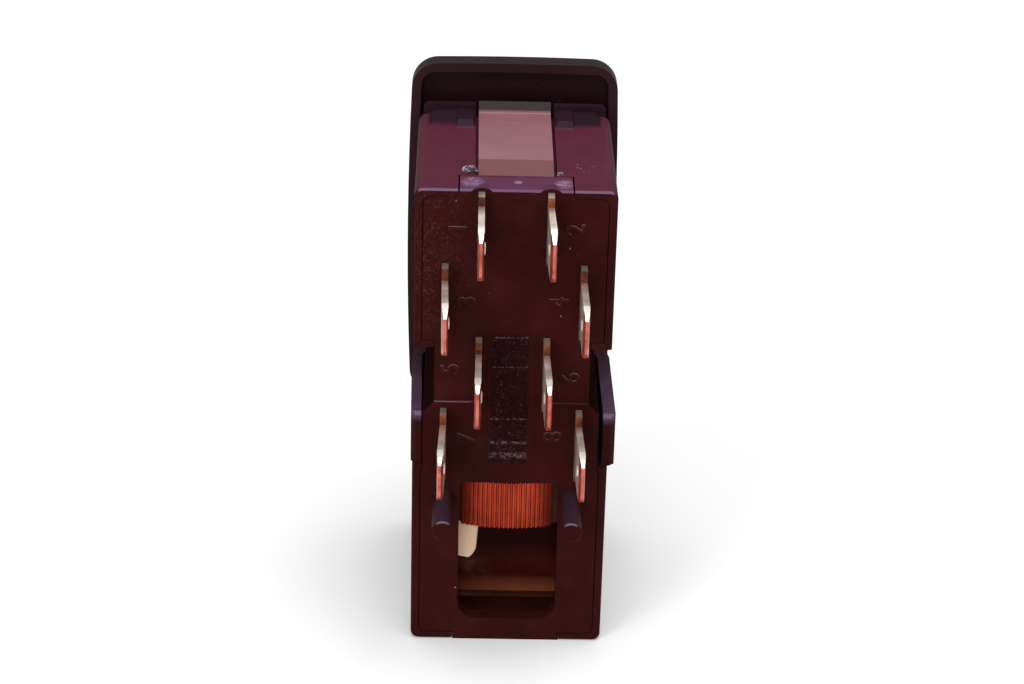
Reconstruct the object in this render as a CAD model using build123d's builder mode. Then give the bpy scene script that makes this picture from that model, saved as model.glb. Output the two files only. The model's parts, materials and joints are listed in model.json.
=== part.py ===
from build123d import *
import math
import os

# Car light switch: a three-position headlight rocker with a panel-lamp dimmer wheel below it.
# Frame: +Z up, the switch stands on its lower end; the rocker faces -Y and the blades face +Y.
# Millimetres. "Depth" is measured forward (towards -Y) from the rear face of the body.

# ---- body shell ----------------------------------------------------------------------------
body_width = 25.0
body_height = 64.0
body_depth = 26.0            # rear face to the rear side of the front flange
body_corner = 1.1
body_ease = 0.25             # small break round the rear edges
rim_wall = 1.0               # wall seen round the rear cover
shell_wall = 1.5             # wall behind the ledge that carries the cover
front_wall = 1.0             # front wall inside the flange plane
neck_width = 23.8
neck_depth = 1.1             # flange thickness
neck_corner = 0.8
neck_bottom = 23.5
flange_rise = 1.35           # flange above the top of the body
clearance = 0.1              # all round the rear cover

# ---- side pockets and spring arms ----------------------------------------------------------
pocket_bottom = 26.0
pocket_top = 42.6
pocket_depth = 22.0
pocket_inner = 9.8           # half width of the body beside the upper pocket
slot_inner = 11.2            # half width of the body beside an arm
shoulder_level = 34.9        # where the body steps out from pocket_inner to slot_inner
arm_bottom = 26.2
arm_height = 7.2
arm_outer = {1: 12.7, -1: 13.35}        # at the free ends: the two arms have set differently, +X and -X
arm_thickness = {1: 1.35, -1: 1.6}
arm_bulge = {1: 13.0, -1: 13.2}         # outside of the arm where it leaves its root
arm_neck = 17.0              # depth where the arm leaves its root
arm_root = 2.4
arm_chamfer = 0.6

# ---- top channel with its spring strip -----------------------------------------------------
channel_width = 10.2
channel_depth = 0.8
strip_width = 9.4
strip_thickness = 0.4
strip_rise = 0.5             # crown of the strip above its two feet
strip_foot = 5.2             # length of the strip's rear foot
strip_bend = 0.35
strip_end = 1.6              # upturned end above the top of the body
ramp_length = 5.0
ramp_rise = 0.6
ramp_inset = 1.1             # ramp ends short of the body's sides
pad_width = 2.35
pad_rise = 0.75
pad_slope = 1.2
pad_draft = 0.2

# ---- rear cover ----------------------------------------------------------------------------
cover_thickness = 2.2
cover_corner = 1.0
tongue_width = 13.9
tongue_depth = 4.7
opening_width = 12.8
opening_bottom = 3.2
opening_top = 23.45
opening_low_radius = 2.4
opening_top_radius = 0.5
peg_diameter = 2.75
peg_length = 8.8
peg_spacing = 16.2
peg_shift = 0.3              # the pair of pegs stands nearer to +X
peg_level = 21.1
panel_width = 6.0
panel_height = 17.6
panel_level = 35.6
panel_relief = 0.1
ridge_level = 35.0
ridge_relief = 0.12

# ---- terminals -----------------------------------------------------------------------------
blade_thickness = 0.8
blade_width = 6.3
blade_reach = 10.7           # tip beyond the rear face
blade_corner = 0.75
blade_bevel = 0.22
bevel_length = 1.4
nose_length = 1.5            # eased upper corner of the nose
nose_drop = 0.35
dimple_diameter = 1.7
dimple_rise = 0.16
dimple_setback = 3.3         # from the tip of the blade
shoulder_width = 9.4
shoulder_reach = 1.75
top_trim = 0.35              # taken off the top of the first row's shoulders
inner_column = 4.25          # rows one and three
outer_column = 8.6           # rows two and four
top_row = 59.4
row_pitch = 10.0
leg_width = 5.0
contact_leg = 4.85           # depth of the switched contacts
knife_leg = 5.5              # depth of the knife edges that carry the contact rockers
slot_play = 0.05

# ---- rocker --------------------------------------------------------------------------------
pivot_depth = 22.5
trunnion_diameter = 4.0
trunnion_reach = 11.6
ear_inner = 9.9
running_gap = 0.04
cap_bottom = 21.8
cap_top = 70.0
cap_crown = 0.2              # rise of the top and bottom edges in their middle
cap_rim = 29.0               # depth of the cap's open rear edge
cap_front_middle = 31.7
cap_front_end = 32.9
cap_half_middle = 13.95
cap_half_end = 13.4
cap_corner = 3.5
cap_inner_corner = 1.7
cap_wall = 1.2
cap_edge = 1.15              # main chamfer round the front
cap_ease = 0.35              # second chamfer that rounds it off
seat_depth = 29.7            # joint plane between cap and rocker frame
seat_width = 17.0
seat_height = 14.0
web_width = 16.0
web_height = 12.8
web_start = 20.0
aperture_play = 1.4
tube_diameter = 6.2
tube_end = 12.0
tube_bore = 4.3
bore_bottom = 24.0
plunger_column = 5.3
plunger_end = 17.0
tip_gap = 0.15
spring_wire = 0.45
spring_turns = 4
contact_thickness = 0.8
contact_inner = 3.3
contact_outer = 7.3
contact_half_length = 11.4
wing_outer = 9.3
wing_height = 3.2

# ---- dimmer --------------------------------------------------------------------------------
axle_depth = 20.8
axle_diameter = 3.0
wheel_radius = 10.6
wheel_bottom = 6.0
wheel_height = 7.5
hub_diameter = 6.6
hub_bottom = 5.0
hub_top = 14.3
flute_count = 42
flute_depth = 0.4
flute_width = 1.0
partition_bottom = 23.65
partition_thickness = 0.95
former_radius = 16.9
former_thickness = 1.6
former_bottom = 15.4
former_height = 6.9
former_angle = 51.0
winding_bottom = 15.3
winding_height = 6.6
winding_turns = 20
winding_pitch = 0.565
winding_offset = 0.2         # the turns lie this much nearer to the +X end
wire_diameter = 0.5
wire_bow = 0.2               # height of the rib that each turn shows
post_inner = 7.3
post_outer = 8.9
post_depth = 6.6
post_lip = 0.5               # posts reach past the former by this, above and below
wiper_rest = 20.0            # degrees, wiper at one end of the winding
wiper_radius = 16.2
wiper_thickness = 0.4
wiper_width = 3.6
wiper_drop = 4.5
wiper_splay = 1.1            # the tab's tip stands out this far
collector_depth = 7.6
collector_thickness = 0.4
collector_width = 18.4
collector_lip = 0.8
shelf_top = 2.5
shelf_back = 0.6             # shelf behind the collector
tie_width = 2.0
tie_top = 28.5
link_thickness = 0.3
link_width = 1.5
link_finger = 1.6
contact_play = 0.02           # between stacked current-carrying pieces

# ---- dimmer bezel --------------------------------------------------------------------------
bezel_top = 20.5
bezel_front = 31.4
bezel_wall = 1.2
bezel_inner = 28.4
bezel_edge = 0.8
dish_depth = 1.5
dish_width = 19.0
wheel_window = 15.2

# ---- derived -------------------------------------------------------------------------------
rear_y = (cap_front_end - blade_reach) / 2
half_width = body_width / 2
inner_half = half_width - shell_wall
floor_top = shell_wall
channel_floor = body_height - channel_depth
neck_top = body_height + flange_rise
neck_front = body_depth + neck_depth
cavity_front = body_depth - front_wall
rocker_level = top_row - row_pitch
wheel_middle = wheel_bottom + wheel_height / 2
contact_front = knife_leg + contact_thickness
plunger_tip = contact_front + tip_gap
plunger_diameter = tube_bore - 2 * slot_play
partition_top = partition_bottom + partition_thickness
tie_column = (collector_width - tie_width) / 2
link_column = post_inner + link_width / 2 + clearance
wiper_level = hub_top
row_levels = [top_row - row_pitch * row for row in range(4)]


def section(depth):
    """Plane across the body at a depth, facing forward: local x is X and local y is Z."""
    return Plane.XZ.offset(depth - rear_y)


def level(z):
    """Horizontal plane at a height."""
    return Plane.XY.offset(z)


def flank(x):
    """Vertical fore-and-aft plane: local x is Y and local y is Z."""
    return Plane.YZ.offset(x)


def y_at(depth):
    return rear_y - depth


def body_outline(gap):
    """Right-hand half of the pocketed body outline, moved inwards by a gap, as (x, z) points."""
    side = half_width - gap
    return [
        (0, gap),
        (side, gap),
        (side, pocket_bottom - gap),
        (slot_inner - gap, pocket_bottom - gap),
        (slot_inner - gap, shoulder_level - (slot_inner - pocket_inner)),
        (pocket_inner - gap, shoulder_level),
        (pocket_inner - gap, pocket_top + gap),
        (side, pocket_top + gap),
        (side, body_height - gap),
        (0, body_height - gap),
    ]


def cover_outline(grow):
    """Right-hand half of the rear cover's outline: full width beside the pockets."""
    side = half_width - rim_wall - clearance + grow
    low = rim_wall + clearance - grow
    high = body_height - rim_wall - clearance + grow
    return [
        (0, low),
        (side, low),
        (side, pocket_bottom - rim_wall + grow),
        (slot_inner + grow, pocket_bottom - rim_wall + grow),
        (slot_inner + grow, shoulder_level - (slot_inner - pocket_inner)),
        (pocket_inner + grow, shoulder_level),
        (pocket_inner + grow, pocket_top + rim_wall - grow),
        (side, pocket_top + rim_wall - grow),
        (side, high),
        (0, high),
    ]


# ---- housing: open-backed moulding with flange, pockets and two spring arms -----------------
with BuildPart() as housing:
    with BuildSketch(section(0)):
        with Locations((0, body_height / 2)):
            RectangleRounded(body_width, body_height, body_corner)
    extrude(amount=body_depth)
    chamfer(housing.faces().sort_by(Axis.Y)[-1].edges(), length=body_ease)
    with BuildSketch(section(body_depth)):
        with Locations((0, (neck_bottom + neck_top) / 2)):
            RectangleRounded(neck_width, neck_top - neck_bottom, neck_corner)
    extrude(amount=neck_depth)
    # low ramp in front of the flange, hipped at both ends
    with BuildSketch(level(body_height)):
        with Locations((0, y_at(body_depth - ramp_length / 2))):
            Rectangle(body_width - 2 * ramp_inset, ramp_length)
    with BuildSketch(level(body_height + ramp_rise)):
        with Locations((0, y_at(body_depth - 0.1))):
            Rectangle(body_width - 4 * ramp_inset, 0.2)
    loft()
    # steeper pad on each side of the channel
    for hand in (-1, 1):
        pad_x = hand * (channel_width / 2 + pad_width / 2 + 0.15)
        with BuildSketch(level(body_height)):
            with Locations((pad_x, y_at(body_depth - ramp_length / 2))):
                Rectangle(pad_width, ramp_length)
        with BuildSketch(level(body_height + pad_rise)):
            with Locations((pad_x, y_at(body_depth - (ramp_length - pad_slope) / 2))):
                Rectangle(pad_width - 2 * pad_draft, ramp_length - pad_slope)
        loft()
    # pockets beside the body
    with BuildSketch(section(0)) as pocket_profile:
        with BuildLine():
            Polyline(
                (half_width + 1, pocket_bottom),
                (slot_inner, pocket_bottom),
                (slot_inner, shoulder_level - (slot_inner - pocket_inner)),
                (pocket_inner, shoulder_level),
                (pocket_inner, pocket_top),
                (half_width + 1, pocket_top),
                close=True,
            )
        make_face()
        mirror(about=Plane.YZ)
    extrude(amount=pocket_depth, mode=Mode.SUBTRACT)
    # main cavity, open to the rear
    with BuildSketch(section(0)):
        with BuildLine():
            Polyline(*body_outline(shell_wall))
            mirror(about=Plane.YZ)
        make_face()
    extrude(amount=cavity_front, mode=Mode.SUBTRACT)
    # seat for the rear cover
    with BuildSketch(section(0)) as seat_profile:
        with BuildLine():
            Polyline(*cover_outline(clearance))
            mirror(about=Plane.YZ)
        make_face()
        seat_corners = seat_profile.vertices().group_by(Axis.Y)
        fillet(seat_corners[0] + seat_corners[-1], radius=cover_corner + clearance)
    extrude(amount=cover_thickness, mode=Mode.SUBTRACT)
    # notches for the two cover tongues
    with BuildSketch(section(0)):
        with Locations((0, body_height - shell_wall / 2), (0, shell_wall / 2)):
            Rectangle(tongue_width + 4 * clearance, shell_wall)
    extrude(amount=tongue_depth + clearance, mode=Mode.SUBTRACT)
    # channel along the top and its notch through the flange
    with BuildSketch(section(tongue_depth)):
        with Locations((0, channel_floor + neck_top / 2)):
            Rectangle(channel_width, neck_top)
    extrude(amount=neck_front - tongue_depth, mode=Mode.SUBTRACT)
    # partition between the switch chamber and the dimmer chamber
    with BuildSketch(section(cover_thickness)):
        with Locations((0, partition_bottom + partition_thickness / 2)):
            Rectangle(2 * inner_half, partition_thickness)
    extrude(amount=cavity_front - cover_thickness)
    # shelf that the collector stands on
    with BuildSketch(section(cover_thickness)):
        with Locations((0, (floor_top + shelf_top) / 2)):
            Rectangle(collector_width + 1.0, shelf_top - floor_top)
    extrude(amount=collector_depth + collector_thickness + shelf_back - cover_thickness)
    # ways through the partition for the collector's tie and the resistor's link
    with BuildSketch(level(partition_bottom)):
        with Locations((-tie_column, y_at(collector_depth + collector_thickness / 2))):
            Rectangle(tie_width + 4 * clearance, collector_thickness + 4 * clearance)
        with Locations((link_column, y_at(post_depth + link_thickness / 2))):
            Rectangle(link_width + 4 * clearance, link_thickness + 4 * clearance)
    extrude(amount=partition_thickness, mode=Mode.SUBTRACT)
    # trunnion ears inside the side walls
    for hand in (-1, 1):
        with BuildSketch(flank(hand * inner_half)):
            with Locations((y_at(pivot_depth - 0.5), rocker_level)):
                Rectangle(7.0, 8.0)
        extrude(amount=-hand * (inner_half - ear_inner))
    with BuildSketch(flank(-trunnion_reach - 0.1)):
        with Locations((y_at(pivot_depth), rocker_level)):
            Circle(trunnion_diameter / 2 + running_gap)
    extrude(amount=2 * trunnion_reach + 0.2, mode=Mode.SUBTRACT)
    # aperture for the rocker frame
    with BuildSketch(section(cavity_front - 0.5)):
        with Locations((0, rocker_level)):
            Rectangle(2 * ear_inner, web_height + 2 * aperture_play)
    extrude(amount=neck_front, mode=Mode.SUBTRACT)
    # window for the thumbwheel
    with BuildSketch(section(cavity_front - 0.5)):
        with Locations((0, wheel_middle)):
            Rectangle(neck_width - 2.0, wheel_height + 1.0)
    extrude(amount=neck_front, mode=Mode.SUBTRACT)
    # bosses for the wheel axle
    with BuildSketch(level(floor_top)):
        with Locations((0, y_at(axle_depth))):
            Circle(hub_diameter / 2)
    extrude(amount=hub_bottom - floor_top - clearance)
    with BuildSketch(level(hub_top + 0.9)):
        with Locations((0, y_at(axle_depth))):
            Circle(hub_diameter / 2 - 0.3)
    extrude(amount=partition_bottom - hub_top - 0.9)
    with BuildSketch(level(floor_top)):
        with Locations((0, y_at(axle_depth))):
            Circle(axle_diameter / 2 + running_gap)
    extrude(amount=partition_top - floor_top, mode=Mode.SUBTRACT)
    # spring arms, rooted in the front of the body and free at the rear
    for hand in (-1, 1):
        outer = arm_outer[hand]
        inner = outer - arm_thickness[hand]
        with BuildSketch(level(arm_bottom)):
            with BuildLine():
                Polyline(
                    (hand * pocket_inner, y_at(pocket_depth + 0.5)),
                    (hand * half_width, y_at(pocket_depth + 0.5)),
                    (hand * half_width, y_at(pocket_depth - 1.0)),
                    (hand * arm_bulge[hand], y_at(arm_neck)),
                    (hand * outer, y_at(arm_chamfer)),
                    (hand * (outer - arm_chamfer), y_at(0)),
                    (hand * inner, y_at(0)),
                    (hand * (arm_bulge[hand] - arm_thickness[hand]), y_at(arm_neck)),
                    (hand * (half_width - arm_root), y_at(pocket_depth - 1.5)),
                    (hand * pocket_inner, y_at(pocket_depth - 0.3)),
                    close=True,
                )
            make_face()
        extrude(amount=arm_height)
    arm_ends = housing.edges().filter_by(Axis.X).filter_by(
        lambda e: abs(e.center().Y - rear_y) < 0.01 and abs(e.center().Z - arm_bottom - arm_height) < 0.01
    )
    chamfer(arm_ends, length=0.45)
housing.part.label = "housing"

# ---- rear cover: terminal plate with tongues, pegs and the dimmer opening -------------------
with BuildPart() as rear_cover:
    with BuildSketch(section(0)) as plate_profile:
        with BuildLine():
            Polyline(*cover_outline(0))
            mirror(about=Plane.YZ)
        make_face()
        corners = plate_profile.vertices().group_by(Axis.Y)
        fillet(corners[0] + corners[-1], radius=cover_corner)
    extrude(amount=cover_thickness - 0.02)
    with BuildSketch(section(0)):
        with Locations((0, body_height - shell_wall / 2 + 0.02), (0, shell_wall / 2 - 0.02)):
            Rectangle(tongue_width, shell_wall - 0.04)
    extrude(amount=tongue_depth)
    tongue_edges = rear_cover.edges().filter_by(Axis.X).group_by(Axis.Z)
    chamfer(tongue_edges[-1].sort_by(Axis.Y)[-1], length=body_ease)
    # low collars over the two top terminals
    with BuildSketch(section(0)):
        with Locations((-inner_column, body_height - 1.75), (inner_column, body_height - 1.75)):
            Circle(2.0)
    extrude(amount=1.5)
    # dimmer opening, wider radii at its lower corners
    with BuildSketch(section(0)) as window:
        with Locations((0, (opening_bottom + opening_top) / 2)):
            Rectangle(opening_width, opening_top - opening_bottom)
        ends = window.vertices().group_by(Axis.Y)
        fillet(ends[0], radius=opening_low_radius)
        ends = window.vertices().group_by(Axis.Y)
        fillet(ends[-1], radius=opening_top_radius)
    extrude(amount=cover_thickness + 1, mode=Mode.SUBTRACT)
    # terminal slots
    with BuildSketch(section(0)):
        for row, height in enumerate(row_levels):
            column = inner_column if row % 2 == 0 else outer_column
            trim = top_trim if row == 0 else 0
            with Locations((-column, height - trim / 2), (column, height - trim / 2)):
                Rectangle(blade_thickness + 2 * slot_play, shoulder_width - trim + 2 * slot_play)
    extrude(amount=tongue_depth + 1, mode=Mode.SUBTRACT)
    # locating pegs
    with BuildSketch(section(0)):
        with Locations((peg_shift - peg_spacing / 2, peg_level), (peg_shift + peg_spacing / 2, peg_level)):
            Circle(peg_diameter / 2)
    extrude(amount=-peg_length)
    peg_tips = rear_cover.edges().filter_by(GeomType.CIRCLE).group_by(Axis.Y)[-1]
    chamfer(peg_tips, length=0.2)
    # raised panel between the columns of blades
    with BuildSketch(section(0)):
        with Locations((0, panel_level)):
            RectangleRounded(panel_width, panel_height, 0.6)
    extrude(amount=-panel_relief)
    # fine ridge on both sides of it
    ridge_column = (inner_column + pocket_inner) / 2 + 0.4
    with BuildSketch(section(0)):
        with Locations((-ridge_column, ridge_level), (ridge_column, ridge_level)):
            Rectangle(pocket_inner - inner_column - 1.2, 2 * ridge_relief)
    extrude(amount=-ridge_relief)
    # grooved posts that hold the resistor former
    for hand in (-1, 1):
        with BuildSketch(section(cover_thickness - 0.05)):
            with Locations((hand * (post_inner + post_outer) / 2, former_bottom + former_height / 2)):
                Rectangle(post_outer - post_inner, former_height + 2 * post_lip)
        extrude(amount=post_depth - cover_thickness)
    with BuildSketch(level(former_bottom)):
        with Locations((0, y_at(axle_depth))):
            Circle(former_radius + former_thickness / 2 + slot_play)
            Circle(former_radius - former_thickness / 2 - slot_play, mode=Mode.SUBTRACT)
        with Locations((0, y_at(axle_depth - former_radius))):
            Rectangle(2 * post_outer - 1.4, 8, mode=Mode.INTERSECT)
    extrude(amount=former_height + post_lip, mode=Mode.SUBTRACT)
rear_cover.part.label = "rear_cover"

# ---- terminals: stamped blades with a shoulder and an inner leg -----------------------------
# A small lean of single blades, in degrees, positive towards +X.
blade_lean = [0.2, -1.5, -1.0, -0.7, 0.6, -1.4, 1.7, -1.9]
# Depth and half height of each leg's end: fixed contact, knife edge, or joint to the dimmer.
legs = {number: (contact_leg, 1.0) for number in (1, 2, 5, 6)}
legs.update({number: (knife_leg, 0.1) for number in (3, 4)})
legs[7] = (post_depth - contact_play, 1.0)
legs[8] = (collector_depth - contact_play, 1.0)
terminals = []
for number in range(1, 9):
    row = (number - 1) // 2
    hand = 1 if number % 2 else -1
    column = inner_column if row % 2 == 0 else outer_column
    height = row_levels[row]
    lean = math.radians(blade_lean[number - 1])
    blade_plane = Plane(
        origin=(hand * column, y_at(-shoulder_reach), height),
        x_dir=(math.sin(lean), math.cos(lean), 0),
        z_dir=(math.cos(lean), -math.sin(lean), 0),
    )
    plan_plane = Plane(origin=blade_plane.origin, x_dir=blade_plane.x_dir, z_dir=(0, 0, 1))
    tip = blade_reach - shoulder_reach
    with BuildPart() as terminal:
        with BuildSketch(blade_plane):
            with BuildLine():
                Polyline(
                    (-0.5, -blade_width / 2),
                    (tip - blade_corner, -blade_width / 2),
                    (tip, -blade_width / 2 + blade_corner),
                    (tip, blade_width / 2 - nose_drop - blade_corner),
                    (tip - blade_corner, blade_width / 2 - nose_drop),
                    (tip - blade_corner - nose_length, blade_width / 2),
                    (-0.5, blade_width / 2),
                    close=True,
                )
            make_face()
        extrude(amount=blade_thickness / 2, both=True)
        # bevelled nose
        with BuildSketch(plan_plane):
            with BuildLine():
                Polyline(
                    (-0.5, -blade_thickness / 2),
                    (tip - bevel_length, -blade_thickness / 2),
                    (tip, -blade_thickness / 2 + blade_bevel),
                    (tip, blade_thickness / 2 - blade_bevel),
                    (tip - bevel_length, blade_thickness / 2),
                    (-0.5, blade_thickness / 2),
                    close=True,
                )
            make_face()
        extrude(amount=blade_width, both=True, mode=Mode.INTERSECT)
        # detent dimple raised on the side that faces the middle
        with BuildSketch(blade_plane.offset(-hand * blade_thickness / 2)):
            with Locations((tip - dimple_setback, 0)):
                RegularPolygon(dimple_diameter / 2, 10)
        extrude(amount=-hand * dimple_rise, taper=40)
        shoulder_top = height + shoulder_width / 2 - (top_trim if row == 0 else 0)
        shoulder_foot = height - shoulder_width / 2
        leg_end, nose = legs[number]
        with BuildSketch(flank(hand * column)):
            with BuildLine():
                Polyline(
                    (y_at(-shoulder_reach), shoulder_foot),
                    (y_at(-shoulder_reach), shoulder_top),
                    (y_at(cover_thickness - 0.3), shoulder_top),
                    (y_at(cover_thickness - 0.3), height + leg_width / 2),
                    (y_at(cover_thickness + 1.2), height + leg_width / 2),
                    (y_at(leg_end), height + nose),
                    (y_at(leg_end), height - nose),
                    (y_at(cover_thickness + 1.2), height - leg_width / 2),
                    (y_at(cover_thickness - 0.3), height - leg_width / 2),
                    (y_at(cover_thickness - 0.3), shoulder_foot),
                    close=True,
                )
            make_face()
        extrude(amount=blade_thickness / 2, both=True)
    terminal.part.label = f"terminal_{number}"
    terminals.append(terminal.part)

# ---- rocker cap: hollow barrel-sided cap with a shallow concave front -----------------------
def cap_form(inset, corner):
    """Outer form of the cap moved inwards: rounded barrel outline with a concave front."""
    end_width = cap_half_end - inset
    middle_width = cap_half_middle - inset
    top = cap_top - cap_crown - inset
    bottom = cap_bottom + cap_crown + inset
    middle = (top + bottom) / 2
    front_hollow = cap_front_end - cap_front_middle
    half_chord = (cap_top - cap_bottom) / 2 - cap_edge
    front_radius = (half_chord ** 2 + front_hollow ** 2) / (2 * front_hollow)
    with BuildPart() as form:
        with BuildSketch(section(cap_rim)) as outline:
            with BuildLine():
                ThreePointArc((-end_width, top), (0, top + cap_crown), (end_width, top))
                ThreePointArc((end_width, top), (middle_width, middle), (end_width, bottom))
                ThreePointArc((end_width, bottom), (0, bottom - cap_crown), (-end_width, bottom))
                ThreePointArc((-end_width, bottom), (-middle_width, middle), (-end_width, top))
            make_face()
            fillet(outline.vertices(), radius=corner)
        extrude(amount=cap_front_end - cap_rim + 1)
        with BuildSketch(flank(0)):
            with Locations((y_at(cap_front_middle + front_radius), middle)):
                Circle(front_radius + inset)
        extrude(amount=cap_half_middle + 1, both=True, mode=Mode.SUBTRACT)
    return form.part


def front_edges(part):
    """Edges round the hollow front of the cap, which is its foremost curved face."""
    curved = part.faces().filter_by(GeomType.CYLINDER)
    broad = curved.filter_by(lambda face: face.bounding_box().size.X > cap_half_end)
    return broad.sort_by(Axis.Y)[0].edges()


cap_solid = cap_form(0, cap_corner)
cap_hollow = cap_form(cap_wall, cap_inner_corner)
with BuildPart() as rocker_cap:
    add(cap_solid)
    chamfer(front_edges(rocker_cap), length=cap_edge)
    chamfer(front_edges(rocker_cap), length=cap_ease)
    add(cap_hollow, mode=Mode.SUBTRACT)
    # boss that seats on the rocker frame
    with BuildSketch(section(seat_depth)):
        with Locations((0, rocker_level)):
            Rectangle(seat_width, seat_height)
    extrude(amount=cap_front_middle - cap_wall / 2 - seat_depth)
rocker_cap.part.label = "rocker_cap"

# ---- rocker frame: trunnions, web and the two plunger tubes ---------------------------------
with BuildPart() as rocker_frame:
    with BuildSketch(section(neck_front + 0.5)):
        with Locations((0, rocker_level)):
            Rectangle(seat_width, seat_height)
    extrude(amount=seat_depth - neck_front - 0.5)
    with BuildSketch(section(web_start)):
        with Locations((0, rocker_level)):
            Rectangle(web_width, web_height)
    extrude(amount=neck_front + 1 - web_start)
    with BuildSketch(section(tube_end)):
        with Locations((-plunger_column, rocker_level), (plunger_column, rocker_level)):
            Circle(tube_diameter / 2)
    extrude(amount=web_start - tube_end + 1)
    with BuildSketch(flank(-trunnion_reach)):
        with Locations((y_at(pivot_depth), rocker_level)):
            Circle(trunnion_diameter / 2)
    extrude(amount=2 * trunnion_reach)
    with BuildSketch(flank(-ear_inner + 0.2)):
        with Locations((y_at(pivot_depth), rocker_level)):
            Circle(trunnion_diameter / 2 + 1.0)
    extrude(amount=2 * ear_inner - 0.4)
    with BuildSketch(section(tube_end)):
        with Locations((-plunger_column, rocker_level), (plunger_column, rocker_level)):
            Circle(tube_bore / 2)
    extrude(amount=bore_bottom - tube_end, mode=Mode.SUBTRACT)
rocker_frame.part.label = "rocker_frame"

# ---- plungers, their springs and the two contact rockers ------------------------------------
sprung = []
for side, hand in (("left", 1), ("right", -1)):
    nose_radius = plunger_diameter / 2
    dome = []
    for latitude in (0, 28, 55, 90):
        turn = math.radians(latitude)
        dome.append((nose_radius * (1 - math.cos(turn)), nose_radius * math.sin(turn)))
    with BuildPart() as plunger:
        with BuildSketch(flank(hand * plunger_column)):
            with BuildLine():
                Polyline(
                    (y_at(plunger_end), rocker_level),
                    *[(y_at(plunger_tip + back), rocker_level + rise) for back, rise in dome],
                    (y_at(plunger_end), rocker_level + nose_radius),
                    close=True,
                )
            make_face()
        revolve(axis=Axis((hand * plunger_column, 0, rocker_level), (0, 1, 0)))
    plunger.part.label = f"plunger_{side}"
    sprung.append(plunger.part)

    spring_seat = plunger_end + spring_wire / 2 + contact_play
    spring_length = bore_bottom - plunger_end - spring_wire - 2 * contact_play
    with BuildPart() as plunger_spring:
        with BuildLine() as coil:
            Helix(
                pitch=spring_length / spring_turns,
                height=spring_length,
                radius=plunger_diameter / 2 - spring_wire / 2 - clearance,
                center=(hand * plunger_column, y_at(spring_seat), rocker_level),
                direction=(0, -1, 0),
            )
        with BuildSketch(coil.line ^ 0):
            RegularPolygon(spring_wire / 2, 4)
        sweep(is_frenet=True)
    plunger_spring.part.label = f"plunger_spring_{side}"
    sprung.append(plunger_spring.part)

    with BuildPart() as contact_rocker:
        with BuildSketch(section(knife_leg)):
            with Locations((hand * (contact_inner + contact_outer) / 2, rocker_level)):
                Rectangle(contact_outer - contact_inner, 2 * contact_half_length)
            with Locations((hand * (contact_inner + wing_outer) / 2, rocker_level)):
                Rectangle(wing_outer - contact_inner, wing_height)
        extrude(amount=contact_thickness)
    contact_rocker.part.label = f"contact_rocker_{side}"
    sprung.append(contact_rocker.part)

# ---- thumbwheel with fluted rim -------------------------------------------------------------
with BuildPart() as thumbwheel:
    with BuildSketch(level(wheel_bottom)) as rim:
        with Locations((0, y_at(axle_depth))):
            Circle(wheel_radius)
            with PolarLocations(wheel_radius, flute_count):
                Polygon(
                    (-flute_depth, 0),
                    (0.1, flute_width / 2),
                    (0.1, -flute_width / 2),
                    align=None,
                    mode=Mode.SUBTRACT,
                )
    extrude(amount=wheel_height)
    with BuildSketch(level(wheel_bottom), level(wheel_bottom + wheel_height)):
        with Locations((0, y_at(axle_depth))):
            Circle(wheel_radius - 2.2)
            Circle(hub_diameter / 2, mode=Mode.SUBTRACT)
    extrude(amount=-2.6, mode=Mode.SUBTRACT, both=True)
    with BuildSketch(level(hub_bottom)):
        with Locations((0, y_at(axle_depth))):
            Circle(hub_diameter / 2)
    extrude(amount=hub_top - hub_bottom)
    with BuildSketch(level(hub_bottom)):
        with Locations((0, y_at(axle_depth))):
            Circle(axle_diameter / 2 + running_gap)
    extrude(amount=hub_top - hub_bottom, mode=Mode.SUBTRACT)
thumbwheel.part.label = "thumbwheel"

with BuildPart() as wheel_axle:
    with BuildSketch(level(floor_top)):
        with Locations((0, y_at(axle_depth))):
            Circle(axle_diameter / 2)
    extrude(amount=partition_top - floor_top)
    chamfer(wheel_axle.edges().filter_by(GeomType.CIRCLE), length=0.25)
wheel_axle.part.label = "wheel_axle"

# ---- wiper: leaf spring on the hub with a splayed tab that runs before the winding ----------
wiper_turn = math.radians(wiper_rest)
wiper_plane = Plane(
    origin=(0, y_at(axle_depth), hub_top),
    x_dir=(math.cos(wiper_turn), -math.sin(wiper_turn), 0),
    z_dir=(0, 0, 1),
)
wiper_side = Plane(origin=wiper_plane.origin, x_dir=wiper_plane.y_dir, z_dir=wiper_plane.x_dir)
wiper_end = Plane(origin=wiper_plane.origin, x_dir=wiper_plane.x_dir, z_dir=-wiper_plane.y_dir)
leaf_level = wiper_thickness / 2
with BuildPart() as wiper:
    with BuildSketch(wiper_side):
        with BuildLine():
            FilletPolyline(
                (hub_diameter / 2 - 1.0, leaf_level),
                (wiper_radius, leaf_level),
                (wiper_radius + wiper_splay, leaf_level - wiper_drop),
                radius=0.5,
            )
        trace(line_width=wiper_thickness)
    extrude(amount=wiper_width / 2, both=True)
    # rounded tip
    tip_radius = wiper_width / 2
    with BuildSketch(wiper_end.offset(1 - wiper_radius)):
        with Locations((0, -wiper_drop)):
            Rectangle(wiper_width + 1, 2 * tip_radius)
        with Locations((0, tip_radius - wiper_drop)):
            Circle(tip_radius, mode=Mode.SUBTRACT)
    extrude(amount=-wiper_splay - 2, mode=Mode.SUBTRACT)
    # ring round the axle and the contact dimple under the winding
    with BuildSketch(wiper_plane):
        Circle(hub_diameter / 2 - 0.4)
        Circle(axle_diameter / 2 + 0.1, mode=Mode.SUBTRACT)
    extrude(amount=wiper_thickness)
    with BuildSketch(wiper_plane.offset(wiper_thickness)):
        with Locations((0, former_radius - 1.0)):
            Circle(0.7)
    extrude(amount=winding_bottom - hub_top - wiper_thickness - 0.15, taper=20)
wiper.part.label = "wiper"

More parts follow.
